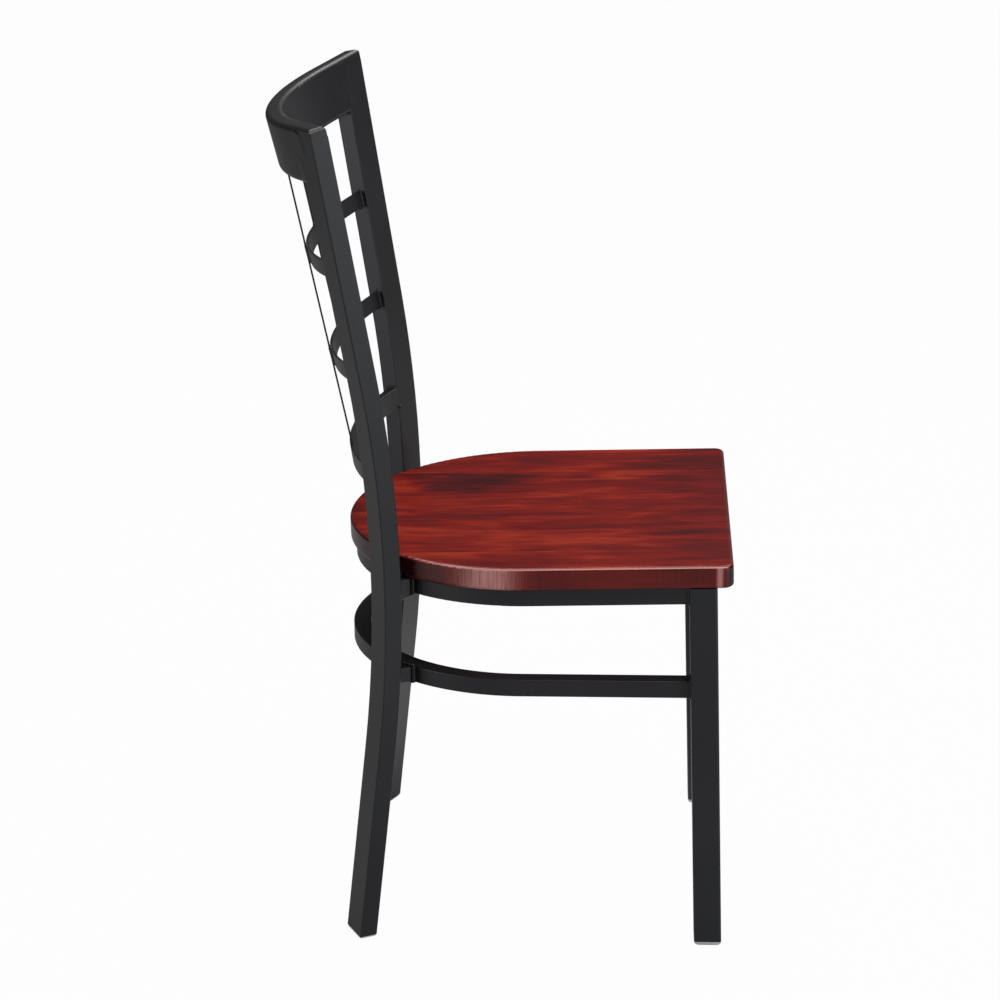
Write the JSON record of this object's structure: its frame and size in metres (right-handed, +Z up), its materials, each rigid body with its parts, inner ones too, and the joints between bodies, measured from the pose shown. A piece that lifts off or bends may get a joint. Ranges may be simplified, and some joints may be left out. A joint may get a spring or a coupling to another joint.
{
  "type": "window-back metal chair",
  "caption": "Window-back side chair: black powder-coated steel frame with curved rails and bars, and a mahogany-stained D-shaped wooden seat.",
  "frame": {"origin": "on the floor, under the middle of the bounding box", "axes": "+Z up, -Y the way the chair faces, +X to the sitter's left"},
  "size_m": [0.4442, 0.5196, 0.9452],
  "materials": {
    "seat_wood": "satin lacquer",
    "black_powder_coat": "satin",
    "zinc_screw": "satin",
    "clear_nylon": "satin"
  },
  "bodies": {
    "root": {"seat_board": "seat_wood", "seat_ring": "black_powder_coat", "lower_ring": "black_powder_coat", "front_rail": "black_powder_coat", "front_leg_left": "black_powder_coat", "front_leg_right": "black_powder_coat", "back_post_left": "black_powder_coat", "back_post_right": "black_powder_coat", "post_cap_left": "black_powder_coat", "post_cap_right": "black_powder_coat", "crest_rail": "black_powder_coat", "upper_slat": "black_powder_coat", "middle_slat": "black_powder_coat", "lower_rail": "black_powder_coat", "window_bar_left": "black_powder_coat", "window_bar_right": "black_powder_coat", "seat_ring_spacer_left": "black_powder_coat", "seat_ring_spacer_right": "black_powder_coat", "lower_ring_spacer_left": "black_powder_coat", "lower_ring_spacer_right": "black_powder_coat", "seat_tab_front_left": "black_powder_coat", "seat_tab_front_right": "black_powder_coat", "seat_tab_rear_left": "black_powder_coat", "seat_tab_rear_right": "black_powder_coat", "seat_screws": "zinc_screw", "front_glide_left": "clear_nylon", "front_glide_right": "clear_nylon", "back_glide_left": "clear_nylon", "back_glide_right": "clear_nylon"}
  },
  "joints": []
}
